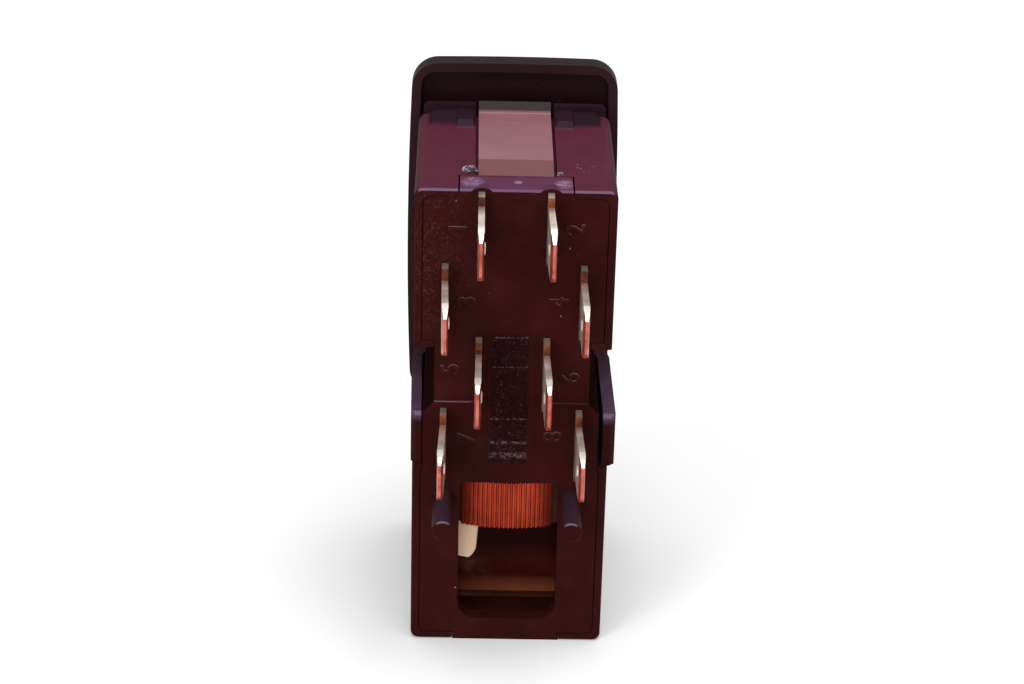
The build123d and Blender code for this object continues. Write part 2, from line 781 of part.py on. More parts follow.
# ---- resistor: curved former with a waist that its turns lie on -----------------------------
def arc_band(inner_radius, outer_radius, half_angle, shift=0):
    """Sector band about the wheel axle, facing the rear, drawn on the base plane."""
    with BuildSketch() as band:
        with BuildLine():
            outer = CenterArc((0, y_at(axle_depth)), outer_radius, 90 - shift - half_angle, 2 * half_angle)
            inner = CenterArc((0, y_at(axle_depth)), inner_radius, 90 - shift - half_angle, 2 * half_angle)
            Line(outer @ 0, inner @ 0)
            Line(outer @ 1, inner @ 1)
        make_face()
    return band.sketch


former_inner = former_radius - former_thickness / 2
former_outer = former_radius + former_thickness / 2
winding_angle = math.degrees(winding_turns * winding_pitch / former_radius)
winding_shift = math.degrees(winding_offset / former_radius)
waist_bottom = winding_bottom + wire_diameter
waist_top = winding_bottom + winding_height - wire_diameter
former_top = former_bottom + former_height
rib_foot = wire_diameter - wire_bow

with BuildPart() as resistor_former:
    with BuildSketch(level(former_bottom)):
        add(arc_band(former_inner, former_outer, former_angle / 2))
    extrude(amount=former_height)
    with BuildSketch(level(former_bottom)):
        add(arc_band(former_inner - 1, former_outer + 1, winding_angle / 2 + 0.3, winding_shift))
    extrude(amount=waist_bottom - former_bottom, mode=Mode.SUBTRACT)
    with BuildSketch(level(waist_top)):
        add(arc_band(former_inner - 1, former_outer + 1, winding_angle / 2 + 0.3, winding_shift))
    extrude(amount=former_top - waist_top, mode=Mode.SUBTRACT)
resistor_former.part.label = "resistor_former"

with BuildPart() as resistance_winding:
    with BuildSketch(level(winding_bottom)):
        add(arc_band(former_inner - rib_foot, former_outer + rib_foot, winding_angle / 2, winding_shift))
        for turn in range(winding_turns):
            bearing = winding_angle * ((turn + 0.5) / winding_turns - 0.5) + winding_shift
            with Locations(Location((0, y_at(axle_depth)), -bearing)):
                ribs = ((former_inner - rib_foot, -wire_bow), (former_outer + rib_foot, wire_bow))
                for radius, rise in ribs:
                    Polygon(
                        (-winding_pitch * 0.46, radius - rise / 4),
                        (-winding_pitch * 0.22, radius + rise),
                        (winding_pitch * 0.22, radius + rise),
                        (winding_pitch * 0.46, radius - rise / 4),
                        align=None,
                    )
    extrude(amount=winding_height)
    with BuildSketch(level(waist_bottom - 0.01)):
        add(arc_band(former_inner - 0.01, former_outer + 0.01, winding_angle / 2 + 1, winding_shift))
    extrude(amount=waist_top - waist_bottom + 0.02, mode=Mode.SUBTRACT)
resistance_winding.part.label = "resistance_winding"

# ---- strip from the end of the resistor up to terminal 7 ------------------------------------
with BuildPart() as dimmer_link:
    with BuildSketch(section(post_depth)):
        with Locations((link_column, (former_bottom + row_levels[3]) / 2 + 1)):
            Rectangle(link_width, row_levels[3] - former_bottom)
        with Locations((link_column - link_width / 2 - link_finger / 2, former_bottom + 4)):
            Rectangle(link_finger + 0.2, link_width)
    extrude(amount=link_thickness)
dimmer_link.part.label = "dimmer_link"

# ---- collector: sheet under the wiper with a tie up to terminal 8 ---------------------------
collector_top = wiper_level - contact_play
with BuildPart() as collector_plate:
    with BuildSketch(section(collector_depth)):
        with Locations((0, (shelf_top + collector_top) / 2)):
            Rectangle(collector_width, collector_top - shelf_top)
        with Locations((-tie_column, (shelf_top + tie_top) / 2)):
            Rectangle(tie_width, tie_top - shelf_top)
    extrude(amount=collector_thickness)
    # foot turned towards the rear
    with BuildSketch(section(collector_depth - collector_lip)):
        with Locations((0, shelf_top + collector_thickness / 2)):
            Rectangle(collector_width, collector_thickness)
    extrude(amount=collector_lip + collector_thickness)
collector_plate.part.label = "collector_plate"

# ---- spring strip in the top channel --------------------------------------------------------
with BuildPart() as top_spring:
    with BuildSketch(flank(-strip_width / 2)):
        with BuildLine() as strip_run:
            foot_level = channel_floor + strip_thickness / 2 + contact_play
            FilletPolyline(
                (y_at(tongue_depth + 0.1), foot_level),
                (y_at(tongue_depth + strip_foot), foot_level + strip_rise),
                (y_at(neck_front - 0.6), foot_level + strip_rise),
                (y_at(neck_front - 0.35), body_height + strip_end),
                radius=strip_bend,
            )
        trace(line_width=strip_thickness)
    extrude(amount=strip_width)
top_spring.part.label = "top_spring"

# ---- bezel: fixed dimmer panel below the rocker ---------------------------------------------
dish_curve = (dish_width ** 2 / 4 + dish_depth ** 2) / (2 * dish_depth)
with BuildPart() as front_bezel:
    with BuildSketch(section(body_depth)):
        with Locations((0, bezel_top / 2)):
            RectangleRounded(body_width, bezel_top, body_corner)
    extrude(amount=bezel_front - body_depth)
    chamfer(front_bezel.faces().sort_by(Axis.Y)[0].edges(), length=bezel_edge)
    with BuildSketch(section(body_depth)):
        with Locations((0, bezel_top / 2)):
            Rectangle(body_width - 2 * bezel_wall, bezel_top - 2 * bezel_wall)
    extrude(amount=bezel_inner - body_depth, mode=Mode.SUBTRACT)
    with BuildSketch(level(wheel_bottom - 2.0)):
        with Locations((0, y_at(bezel_front - dish_depth + dish_curve))):
            Circle(dish_curve)
    extrude(amount=wheel_height + 4.0, mode=Mode.SUBTRACT)
    with BuildSketch(section(bezel_inner - 0.5)):
        with Locations((0, wheel_middle)):
            Rectangle(wheel_window, wheel_height + 1.0)
    extrude(amount=bezel_front, mode=Mode.SUBTRACT)
front_bezel.part.label = "front_bezel"

# ---- one file for each piece ----------------------------------------------------------------
pieces = [
    housing.part,
    rear_cover.part,
    front_bezel.part,
    rocker_cap.part,
    rocker_frame.part,
    thumbwheel.part,
    wheel_axle.part,
    wiper.part,
    resistor_former.part,
    resistance_winding.part,
    dimmer_link.part,
    collector_plate.part,
    top_spring.part,
]
os.makedirs("parts", exist_ok=True)
for piece in pieces + terminals + sprung:
    export_step(piece, f"parts/{piece.label}.step")
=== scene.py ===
import json
import math

import bmesh
import bpy
from mathutils import Matrix, Vector, noise


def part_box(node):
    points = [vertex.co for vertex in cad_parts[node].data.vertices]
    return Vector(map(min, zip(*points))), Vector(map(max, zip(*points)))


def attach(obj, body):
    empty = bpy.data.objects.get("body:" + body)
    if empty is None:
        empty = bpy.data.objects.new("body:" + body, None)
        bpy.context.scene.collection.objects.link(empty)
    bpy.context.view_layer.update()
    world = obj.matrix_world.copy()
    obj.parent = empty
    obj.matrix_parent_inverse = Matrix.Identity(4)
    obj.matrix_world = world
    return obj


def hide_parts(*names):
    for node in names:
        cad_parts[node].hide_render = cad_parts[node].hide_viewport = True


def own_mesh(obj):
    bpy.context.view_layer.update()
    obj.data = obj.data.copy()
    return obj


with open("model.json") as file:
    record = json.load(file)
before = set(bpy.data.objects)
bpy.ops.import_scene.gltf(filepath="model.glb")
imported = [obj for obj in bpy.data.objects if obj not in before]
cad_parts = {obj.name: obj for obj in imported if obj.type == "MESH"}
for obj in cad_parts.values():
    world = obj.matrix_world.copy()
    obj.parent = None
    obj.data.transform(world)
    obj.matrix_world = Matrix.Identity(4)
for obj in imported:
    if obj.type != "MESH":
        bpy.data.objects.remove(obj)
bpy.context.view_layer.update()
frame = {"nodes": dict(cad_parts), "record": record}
MM = 0.001


def mm(*values):
    """Millimetres as metres."""
    return tuple(value * MM for value in values)


# ---- planes and places that the looks refer to ----------------------------------------------
PEG_LENGTH = 8.8 * MM
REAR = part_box("rear_cover")[1].y - PEG_LENGTH     # face of the terminal plate
CAP_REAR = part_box("rocker_cap")[1].y              # open rim of the rocker cap
TOP = 64.0 * MM                                   # upper face of the body
TERMINAL_TIP = max(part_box("terminal_1")[1].y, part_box("terminal_8")[1].y)


def from_rear(*depths):
    """Depths in millimetres from the terminal plate's face, forward ones below zero."""
    return tuple(REAR + depth * MM for depth in depths)


def from_top(*heights):
    return tuple(TOP + height * MM for height in heights)


def from_tip(*depths):
    return tuple(TERMINAL_TIP + depth * MM for depth in depths)


# ---- camera ---------------------------------------------------------------------------------
CAMERA_RIGHT = 6.2 * MM
CAMERA_BACK = 305.9 * MM
CAMERA_HEIGHT = 188.8 * MM
AIM_RIGHT = 0.1 * MM
AIM_HEIGHT = 43.5 * MM
CAMERA_ROLL = 1.5
LENS = 95.0
SENSOR = 36.0


def place_camera():
    """Seen from behind and above, square to the terminals, with a hand-held shot's slight roll."""
    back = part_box("housing")[1].y
    position = Vector((CAMERA_RIGHT, back + CAMERA_BACK, CAMERA_HEIGHT))
    target = Vector((AIM_RIGHT, back, AIM_HEIGHT))
    roll = math.radians(CAMERA_ROLL)
    forward = (target - position).normalized()
    right = forward.cross(Vector((0, 0, 1))).normalized()
    up = right.cross(forward)
    tilted_right = right * math.cos(roll) + up * math.sin(roll)
    tilted_up = up * math.cos(roll) - right * math.sin(roll)
    data = bpy.data.cameras.new("camera")
    data.lens = LENS
    data.sensor_width = SENSOR
    data.clip_start = 0.01
    data.clip_end = 10.0
    camera = bpy.data.objects.new("camera", data)
    bpy.context.scene.collection.objects.link(camera)
    turn = Matrix((tilted_right, tilted_up, -forward)).transposed().to_4x4()
    camera.matrix_world = Matrix.Translation(position) @ turn
    bpy.context.scene.camera = camera


# ---- node helpers ---------------------------------------------------------------------------
class Shader:
    """A principled material with short calls for its texture nodes."""

    def __init__(self, name, **values):
        self.material = bpy.data.materials.new(name)
        self.material.use_nodes = True
        self.nodes = self.material.node_tree.nodes
        self.links = self.material.node_tree.links
        self.principled = self.nodes["Principled BSDF"]
        self.place = self.nodes.new("ShaderNodeTexCoord").outputs["Object"]
        for key, value in values.items():
            self.principled.inputs[key.replace("_", " ")].default_value = value

    def link(self, source, target):
        self.links.new(source, target)

    def set(self, socket, source):
        self.link(source, self.principled.inputs[socket])

    # textures
    def scaled(self, scale):
        """Object coordinates stretched along each axis."""
        node = self.nodes.new("ShaderNodeMapping")
        node.inputs["Scale"].default_value = scale
        self.link(self.place, node.inputs["Vector"])
        return node.outputs["Vector"]

    def noise(self, scale, detail=3.0, roughness=0.5, stretch=(1, 1, 1)):
        node = self.nodes.new("ShaderNodeTexNoise")
        node.inputs["Scale"].default_value = scale
        node.inputs["Detail"].default_value = detail
        node.inputs["Roughness"].default_value = roughness
        self.link(self.scaled(stretch), node.inputs["Vector"])
        return node.outputs["Fac"]

    def spots(self, scale, low, high):
        """Sparse round specks."""
        node = self.nodes.new("ShaderNodeTexVoronoi")
        node.inputs["Scale"].default_value = scale
        self.link(self.place, node.inputs["Vector"])
        return self.ramp(node.outputs["Distance"], high, low)

    # where on the part
    def axis(self, index):
        """One object coordinate: 0 across, 1 towards the rear, 2 up."""
        node = self.nodes.new("ShaderNodeSeparateXYZ")
        self.link(self.place, node.inputs[0])
        return node.outputs[index]

    def facing(self, index):
        """One component of the surface normal."""
        geometry = self.nodes.new("ShaderNodeNewGeometry")
        node = self.nodes.new("ShaderNodeSeparateXYZ")
        self.link(geometry.outputs["Normal"], node.inputs[0])
        return node.outputs[index]

    def near(self, point, inner, outer, squeeze=(1, 1, 1)):
        """One at a point, fading to zero between two distances."""
        node = self.nodes.new("ShaderNodeVectorMath")
        node.operation = "DISTANCE"
        self.link(self.scaled(squeeze), node.inputs[0])
        squeezed = [value * factor for value, factor in zip(point, squeeze)]
        node.inputs[1].default_value = squeezed
        return self.ramp(node.outputs["Value"], outer, inner)

    def band(self, source, centre, inner, outer):
        """One within inner of a level, fading to zero at outer."""
        return self.ramp(self.magnitude(self.math("SUBTRACT", source, centre)), outer, inner)

    # sums
    def math(self, operation, first, second):
        node = self.nodes.new("ShaderNodeMath")
        node.operation = operation
        for value, socket in ((first, node.inputs[0]), (second, node.inputs[1])):
            if isinstance(value, (int, float)):
                socket.default_value = value
            else:
                self.link(value, socket)
        return node.outputs[0]

    def times(self, first, *others):
        for other in others:
            first = self.math("MULTIPLY", first, other)
        return first

    def largest(self, first, second):
        return self.math("MAXIMUM", first, second)

    def magnitude(self, source):
        return self.math("ABSOLUTE", source, 0.0)

    def ramp(self, source, low, high, start=0.0, end=1.0):
        node = self.nodes.new("ShaderNodeMapRange")
        node.inputs["From Min"].default_value = low
        node.inputs["From Max"].default_value = high
        node.inputs["To Min"].default_value = start
        node.inputs["To Max"].default_value = end
        self.link(source, node.inputs["Value"])
        return node.outputs["Result"]

    def mix(self, factor, first, second):
        node = self.nodes.new("ShaderNodeMix")
        node.data_type = "RGBA"
        self.link(factor, node.inputs["Factor"])
        for value, socket in ((first, node.inputs[6]), (second, node.inputs[7])):
            if isinstance(value, tuple):
                socket.default_value = value
            else:
                self.link(value, socket)
        return node.outputs[2]

    def bump(self, height, distance, strength=1.0, normal=None):
        node = self.nodes.new("ShaderNodeBump")
        node.inputs["Distance"].default_value = distance
        node.inputs["Strength"].default_value = strength
        self.link(height, node.inputs["Height"])
        if normal is not None:
            self.link(normal, node.inputs["Normal"])
        return node.outputs["Normal"]


def srgb(red, green, blue):
    """Linear colour of an sRGB triple given in 0 to 255."""
    linear = []
    for level in (red, green, blue):
        if level <= 10:
            linear.append(level / 255 / 12.92)
        else:
            linear.append(((level / 255 + 0.055) / 1.055) ** 2.4)
    return (*linear, 1.0)


CAST_KEPT = 0.65
CAST_SPREAD = 0.05


def toned(red, green, blue):
    """Colour as photographed, with part of the red table's cast taken off."""
    neutral = (green + blue) / 2
    cast = red - neutral
    spread = CAST_SPREAD * cast
    return srgb(neutral + CAST_KEPT * cast, green + spread, blue + spread)


# ---- black plastic --------------------------------------------------------------------------
RED_TINT = (1.0, 0.60, 0.64, 1.0)

# Fades from 0 at the first length to 1 at the second, by distance from the middle or by height.
BEYOND_BODY = mm(11.3, 11.5)
WITHIN_BODY = mm(11.3, 11.1)
ABOVE_CHAMBER = mm(12, 15)
BELOW_SHOULDER_TOP = mm(36.0, 35.6)
ABOVE_SHOULDER_FOOT = mm(31.0, 32.0)
ABOVE_ARM_FOOT = mm(32.0, 32.9)
DOWN_THE_ARM = mm(41, 33)
BELOW_ARM_TIP = mm(42.4, 41.6)
ALONG_THE_ARM = from_rear(-15.5, -7)
ON_TOP = from_top(-2, -1)
ON_FLANGE = from_top(0.02, 0.2)
ON_REAR = from_rear(-0.6, -0.3)
PEG_END = from_rear(4, 5)

# Rough panel in the middle of the terminal plate, and the torn ridges across it.
PANEL_MIDDLE = mm(0.3, 35.4)
PANEL_HALF_WIDTH = mm(2.1, 2.5)
PANEL_HALF_HEIGHT = mm(8.9, 9.4)
TORN_RIDGES = ((44.1, 0.14), (40.0, 0.1), (32.7, 0.12), (29.3, 0.28), (27.5, 0.6))
RIDGE_CORE = 0.3

# Scuffs on the tongue and beside the strip: across, forward of the rear face, radius.
SCUFFS = ((5.4, 2.4, 1.6), (-5.9, 2.2, 1.4), (-5.35, 5.6, 0.7), (5.6, 6.6, 1.2))
SCUFF_CORE = 0.2
NICK = (-6.6 * MM, *from_rear(-14.6), *from_top(0.8))
CRUMBS = (-9.2 * MM, *from_rear(-8.5), TOP)


class BlackPlastic(Shader):
    """Semi-gloss black nylon with a maroon cast, a painted sheen on its upward faces, some dust,
    and scuffed.
    """

    def __init__(self):
        super().__init__(
            "black_plastic",
            Roughness=0.4, IOR=1.5, Specular_IOR_Level=0.02, Specular_Tint=RED_TINT,
        )
        self.cloud = self.noise(90, detail=4)
        self.blotch = self.noise(260, detail=5, roughness=0.65)
        self.fine = self.noise(3600, detail=4, roughness=0.7)
        self.across = self.axis(0)
        self.depth = self.axis(1)
        self.height = self.axis(2)
        self.side = self.magnitude(self.across)
        self.on_top = self.ramp(self.height, *ON_TOP)
        self.rear = self.ramp(self.depth, *ON_REAR)
        self.upward = self.ramp(self.facing(2), 0.5, 0.95)
        self.outside = self.ramp(self.side, *BEYOND_BODY)
        self.below_tip = self.ramp(self.height, *BELOW_ARM_TIP)
        self.base = self.mottled()
        self.shoulder = self.sheen_on_top()
        self.arm_sheen()
        self.flange_shade_and_edge_highlights()
        self.rough_panel, self.panel = self.torn_panel()
        self.window_rim_highlight()
        self.tongue_sheen()
        self.powder()
        self.ridge_highlight()
        self.scuffs = self.scuffed()
        dust = self.dusted()
        self.set("Base Color", self.base)
        self.finish_surface(dust)

    def paint(self, mask, colour):
        self.base = self.mix(mask, self.base, colour)

    def mottled(self):
        base = self.mix(self.ramp(self.cloud, 0.3, 0.7), toned(57, 10, 10), toned(68, 14, 13))
        blotches = self.times(self.ramp(self.blotch, 0.5, 0.8), 0.3)
        return self.mix(blotches, base, toned(84, 30, 28))

    def sheen_on_top(self):
        """Painted sheen on upward faces, red-violet on the top and greyer low down, none in the
        chamber; painted shade on the shoulders instead.
        """
        shoulder = self.times(
            self.ramp(self.side, *WITHIN_BODY),
            self.ramp(self.height, *BELOW_SHOULDER_TOP),
            self.ramp(self.height, *ABOVE_SHOULDER_FOOT),
        )
        # Painted sheen: upward faces above the chamber, broken up by blotches, kept off the
        # shoulders.
        top_sheen = self.times(
            self.upward,
            self.ramp(self.height, *ABOVE_CHAMBER),
            self.ramp(self.blotch, 0.2, 0.8, 0.7, 1.0),
            self.ramp(shoulder, 0.0, 1.0, 1.0, 0.0),
        )
        self.paint(top_sheen, self.mix(self.on_top, toned(60, 36, 46), toned(100, 30, 46)))
        # Painted shade: the shoulders' sloping faces are darkened.
        self.paint(self.times(shoulder, self.ramp(self.facing(2), 0.3, 0.6)), toned(34, 4, 4))
        return shoulder

    def arm_sheen(self):
        """Painted sheen, violet, on the arms' outer slopes, stronger lower down."""
        arm = self.times(
            self.outside,
            self.ramp(self.height, *ABOVE_ARM_FOOT),
            self.ramp(self.height, *DOWN_THE_ARM, 0.3, 1.0),
            self.below_tip,
            self.ramp(self.depth, *ALONG_THE_ARM),
            self.ramp(self.blotch, 0.3, 0.7, 0.4, 0.85),
        )
        self.paint(arm, toned(94, 64, 86))

    def flange_shade_and_edge_highlights(self):
        """Painted shade on the flange under the rocker cap, and painted highlights on the rear
        edges of the top, the arms and the pegs.
        """
        # Painted shade: everything above the top face, the flange, is darkened.
        flange = self.ramp(self.height, *ON_FLANGE)
        self.paint(flange, self.mix(self.cloud, toned(34, 14, 20), toned(50, 26, 36)))
        # Painted highlights on edges that face up and back, only on the top, the arms and the
        # pegs' ends.
        edge = self.times(
            self.ramp(self.facing(2), 0.5, 0.65), self.ramp(self.facing(1), 0.5, 0.65)
        )
        exposed = self.largest(self.on_top, self.times(self.outside, self.below_tip))
        exposed = self.largest(exposed, self.ramp(self.depth, *PEG_END))
        glint = self.mix(flange, toned(108, 84, 104), toned(80, 54, 76))
        self.paint(self.times(edge, exposed, 0.8), glint)

    def torn_panel(self):
        wide = self.band(self.across, PANEL_MIDDLE[0], *PANEL_HALF_WIDTH)
        tall = self.band(self.height, PANEL_MIDDLE[1], *PANEL_HALF_HEIGHT)
        panel = self.times(wide, tall, self.rear)
        rough_panel = self.noise(900, detail=6, roughness=0.8)
        worn = self.times(panel, self.ramp(rough_panel, 0.36, 0.58, 0.25, 1.0))
        self.paint(self.times(worn, 0.85), toned(30, 7, 10))
        chips = self.times(panel, self.ramp(self.fine, 0.57, 0.66), 0.24)
        torn = 0.0
        for level, half in TORN_RIDGES:
            ridge = self.band(self.height, level * MM, RIDGE_CORE * half * MM, half * MM)
            torn = self.largest(ridge, torn)
        torn = self.times(torn, panel, self.ramp(self.fine, 0.46, 0.58), 0.55)
        self.paint(self.largest(chips, torn), toned(126, 92, 98))
        return rough_panel, panel

    def window_rim_highlight(self):
        """Painted highlight along the lower rim of the dimmer window."""
        rim = self.times(
            self.band(self.height, 4.2 * MM, *mm(0.15, 0.5)),
            self.rear,
            self.ramp(self.side, *mm(6.0, 5.0)),
            self.ramp(self.blotch, 0.3, 0.7, 0.1, 0.6),
        )
        self.paint(rim, toned(104, 66, 68))

    def tongue_sheen(self):
        # Painted sheen, more violet, on the tongue's upward faces.
        tongue = self.times(
            self.ramp(self.side, *mm(7.2, 6.9)),
            self.ramp(self.depth, *from_rear(-4.4, -4.0)),
            self.times(self.upward, self.on_top),
            0.6,
        )
        self.paint(tongue, toned(96, 48, 74))

    def powder(self):
        """Fine dust that clings to the rear by the left edge."""
        left = self.times(
            self.ramp(self.across, *mm(4.0, 11.0)),
            self.ramp(self.facing(1), 0.6, 0.9),
            self.times(self.ramp(self.height, *mm(42, 48)), self.rear),
        )
        grains = self.ramp(self.noise(3200, detail=6, roughness=0.8), 0.54, 0.70)
        self.paint(self.times(left, grains, 0.55), toned(132, 82, 68))

    def ridge_highlight(self):
        """Painted highlight on the line where the lower part of the terminal plate starts,
        stronger to one side.
        """
        line = self.times(
            self.band(self.height, 35.06 * MM, *mm(0.04, 0.13)),
            self.rear,
            self.ramp(self.side, *mm(4.6, 5.2)),
            self.ramp(self.across, *mm(-8, 6), 0.12, 0.6),
        )
        self.paint(line, toned(128, 88, 98))

    def scuffed(self):
        patches = 0.0
        for x, forward, size in SCUFFS:
            place = (x * MM, *from_rear(-forward), TOP)
            patch = self.near(place, SCUFF_CORE * size * MM, size * MM, (1, 0.8, 1))
            patches = self.largest(patch, patches)
        self.paint(self.times(patches, 0.45), toned(140, 88, 112))
        scratches = self.ramp(self.noise(1100, detail=7, roughness=0.8), 0.48, 0.62)
        scuffs = self.times(patches, scratches)
        self.paint(self.times(scuffs, 0.8), toned(172, 142, 166))
        nick = self.near(NICK, *mm(0.15, 0.5), (0.7, 1, 1))
        self.paint(self.times(nick, self.ramp(self.fine, 0.35, 0.5)), toned(170, 150, 168))
        return scuffs

    def dusted(self):
        """Sparse specks everywhere, and crumbs by one corner of the top."""
        specks = self.times(
            self.spots(520, 0.03, 0.09), self.ramp(self.noise(1500, detail=2), 0.62, 0.70)
        )
        crumbs = self.times(
            self.near(CRUMBS, *mm(0.5, 3.4)),
            self.ramp(self.noise(1900, detail=3), 0.64, 0.70),
        )
        dust = self.times(self.largest(specks, crumbs), 0.7)
        self.paint(dust, toned(166, 126, 124))
        return dust

    def finish_surface(self, dust):
        rough = self.ramp(self.cloud, 0.2, 0.8, 0.40, 0.52)
        for mask, more in ((dust, 0.25), (self.shoulder, 0.55), (self.panel, 0.2)):
            rough = self.math("ADD", rough, self.times(mask, more))
        self.set("Roughness", rough)
        grain = self.noise(2600, detail=2)
        relief = self.bump(self.times(self.rough_panel, self.panel), 0.18 * MM, 0.8)
        relief = self.bump(self.scuffs, 0.06 * MM, 0.7, relief)
        self.set("Normal", self.bump(grain, 0.03 * MM, 0.5, relief))


def raised_plastic():
    """The body's plastic on the moulded numbers and the tongue's button, with a painted highlight
    on the sides that face up and on the button's crown.
    """
    shader = Shader(
        "raised_plastic",
        Roughness=0.35, IOR=1.5, Specular_IOR_Level=0.05, Specular_Tint=RED_TINT,
    )
    patchiness = shader.noise(1300, detail=4)
    # Painted highlight on the sides that face up, in patches.
    lit = shader.times(shader.ramp(shader.facing(2), 0.15, 0.5), shader.ramp(patchiness, 0.3, 0.5))
    base = shader.mix(patchiness, toned(58, 10, 10), toned(72, 18, 18))
    base = shader.mix(lit, base, toned(108, 72, 80))
    # Painted highlight: the button's crown, the only part at the top's height, turns pale violet.
    crown = shader.ramp(shader.axis(2), *from_top(-0.1, 0))
    violet = shader.mix(patchiness, toned(96, 60, 80), toned(142, 108, 132))
    shader.set("Base Color", shader.mix(crown, base, violet))
    shader.set("Normal", shader.bump(patchiness, 0.02 * MM, 0.4))
    return shader.material


def melted_plastic():
    """Lumpy plastic that has run: dark and glossy, with painted glints as pale spots."""
    shader = Shader("melted_plastic", IOR=1.5, Specular_IOR_Level=0.25)
    lumps = shader.noise(1500, detail=5, roughness=0.7)
    # Painted glints: pale spots on the lumps.
    pale = shader.ramp(lumps, 0.50, 0.62)
    shader.set("Base Color", shader.mix(pale, toned(52, 20, 30), toned(178, 152, 174)))
    shader.set("Roughness", shader.ramp(lumps, 0.3, 0.7, 0.12, 0.3))
    shader.set("Normal", shader.bump(lumps, 0.08 * MM, 0.8))
    return shader.material


# ---- other plastics -------------------------------------------------------------------------
def satin_black_plastic():
    """Fine-grained satin black of the rocker cap and the thumbwheel."""
    shader = Shader(
        "satin_black_plastic", IOR=1.5, Specular_IOR_Level=0.12, Specular_Tint=RED_TINT
    )
    cloud = shader.noise(60, detail=4)
    base = shader.mix(cloud, toned(27, 4, 6), toned(39, 8, 12))
    # Painted highlight on the cap's rear rim face.
    rim = shader.times(
        shader.ramp(shader.facing(1), 0.9, 0.99),
        shader.ramp(shader.axis(1), CAP_REAR - 0.5 * MM, CAP_REAR - 0.3 * MM),
        0.5,
    )
    base = shader.mix(rim, base, toned(54, 24, 30))
    # Painted shade: faces that point up are darkened.
    upward = shader.ramp(shader.facing(2), 0.3, 0.9)
    base = shader.mix(shader.times(upward, 0.8), base, toned(20, 4, 6))
    specks = shader.times(shader.spots(420, 0.02, 0.07), 0.2)
    shader.set("Base Color", shader.mix(specks, base, toned(104, 74, 74)))
    shader.set("Roughness", shader.ramp(cloud, 0.2, 0.8, 0.46, 0.6))
    shader.set("Normal", shader.bump(shader.noise(4200, detail=1), 0.04 * MM, 0.6))
    return shader.material


def natural_plastic():
    shader = Shader("natural_plastic", IOR=1.48)
    cloud = shader.noise(120)
    shader.set("Base Color", shader.mix(cloud, srgb(206, 198, 180), srgb(222, 216, 200)))
    shader.set("Roughness", shader.ramp(cloud, 0.2, 0.8, 0.38, 0.5))
    shader.set("Normal", shader.bump(shader.noise(1800, detail=2), 0.02 * MM, 0.4))
    return shader.material


def laminate():
    shader = Shader("brown_laminate", IOR=1.5)
    weave = shader.noise(900, detail=3, stretch=(1, 1, 0.2))
    shader.set("Base Color", shader.mix(weave, srgb(56, 24, 13), srgb(84, 40, 24)))
    shader.set("Roughness", shader.ramp(weave, 0.3, 0.7, 0.45, 0.65))
    shader.set("Normal", shader.bump(weave, 0.03 * MM, 0.5))
    return shader.material


# ---- metals ---------------------------------------------------------------------------------
def metal(name, dark, light, rough_low, rough_high, stretch=(1, 1, 1)):
    shader = Shader(name, Metallic=1.0)
    grain = shader.noise(500, detail=4, stretch=stretch)
    tarnish = shader.noise(160, detail=5, roughness=0.65)
    shader.set("Base Color", shader.mix(shader.ramp(tarnish, 0.35, 0.7), dark, light))
    shader.set("Roughness", shader.ramp(grain, 0.3, 0.7, rough_low, rough_high))
    shader.set("Normal", shader.bump(grain, 0.02 * MM, 0.35))
    return shader.material


def spring_steel():
    """Satin strip, even along its flat, with painted shade deeper at its rear foot and darker
    painted shade where it stands up.
    """
    shader = Shader("spring_steel", Metallic=0.3)
    grain = shader.noise(900, detail=3, stretch=(0.35, 1, 1))
    cloud = shader.ramp(shader.noise(140, detail=4), 0.3, 0.7)
    base = shader.mix(cloud, toned(152, 80, 88), toned(162, 89, 97))
    # Painted shade on the foot, which slopes down at the rear.
    foot = shader.ramp(shader.axis(1), *from_rear(-10.0, -9.8))
    base = shader.mix(foot, base, toned(130, 56, 62))
    # Painted shade on the part that stands up, in the shade of the rocker cap.
    upright = shader.ramp(shader.axis(2), *from_top(0.35, 0.6))
    shader.set("Base Color", shader.mix(upright, base, toned(58, 38, 38)))
    shader.set("Roughness", shader.ramp(grain, 0.3, 0.7, 0.5, 0.6))
    shader.set("Normal", shader.bump(grain, 0.01 * MM, 0.3))
    return shader.material


def silvered_copper():
    """Bright leaf, which stays pale in the chamber because it doesn't mirror it."""
    shader = Shader("silvered_copper", Metallic=0.0)
    cloud = shader.noise(500, detail=3)
    warm = shader.ramp(cloud, 0.3, 0.7)
    shader.set("Base Color", shader.mix(warm, srgb(255, 206, 168), srgb(255, 226, 196)))
    shader.set("Roughness", shader.ramp(cloud, 0.2, 0.8, 0.3, 0.42))
    shader.set("Normal", shader.bump(shader.noise(1400, detail=2), 0.01 * MM, 0.3))
    return shader.material


